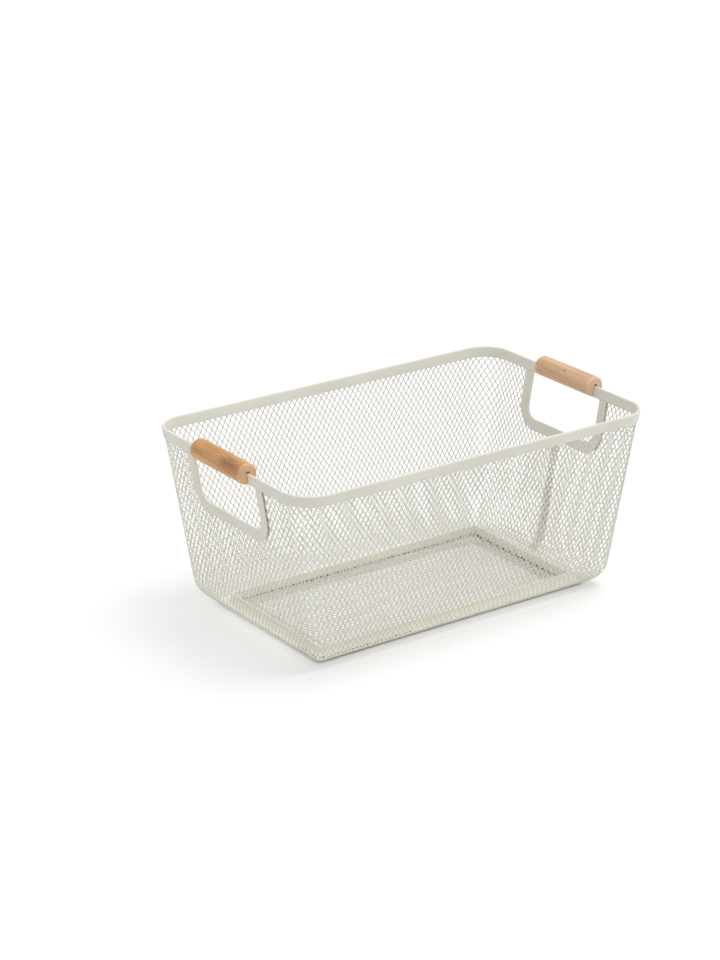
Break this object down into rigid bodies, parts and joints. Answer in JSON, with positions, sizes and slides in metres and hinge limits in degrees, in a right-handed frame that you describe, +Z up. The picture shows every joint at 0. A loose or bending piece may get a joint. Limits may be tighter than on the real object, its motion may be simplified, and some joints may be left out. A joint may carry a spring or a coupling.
{
  "type": "mesh storage basket",
  "caption": "Rectangular open-top storage basket of expanded metal mesh with rounded corners, a folded metal rim, framed hand holes and slotted wooden grips at both ends.",
  "frame": {"origin": "on the floor under the middle of the basket", "axes": "+X along the long side, towards the end with the wall seam; +Z up"},
  "size_m": [0.4196, 0.2476, 0.189],
  "materials": {
    "coated_steel": "satin",
    "beech": "matte"
  },
  "bodies": {
    "root": {"rim_band": "coated_steel", "hand_hole_frame_right": "coated_steel", "hand_hole_frame_left": "coated_steel", "grip_right": "beech", "grip_left": "beech", "mesh_front": "coated_steel", "mesh_back": "coated_steel", "mesh_right_under_hole": "coated_steel", "mesh_right_beside_hole_a": "coated_steel", "mesh_right_beside_hole_b": "coated_steel", "mesh_left_under_hole": "coated_steel", "mesh_left_beside_hole_a": "coated_steel", "mesh_left_beside_hole_b": "coated_steel", "mesh_corner_front_right": "coated_steel", "mesh_corner_back_right": "coated_steel", "mesh_corner_back_left": "coated_steel", "mesh_corner_front_left": "coated_steel", "bend_front": "coated_steel", "bend_back": "coated_steel", "bend_right": "coated_steel", "bend_left": "coated_steel", "bend_corner_front_right": "coated_steel", "bend_corner_back_right": "coated_steel", "bend_corner_back_left": "coated_steel", "bend_corner_front_left": "coated_steel", "floor_mesh": "coated_steel", "floor_lap_front": "coated_steel", "floor_lap_back": "coated_steel", "floor_lap_right": "coated_steel", "floor_lap_left": "coated_steel", "wall_seam_lap": "coated_steel"}
  },
  "joints": []
}
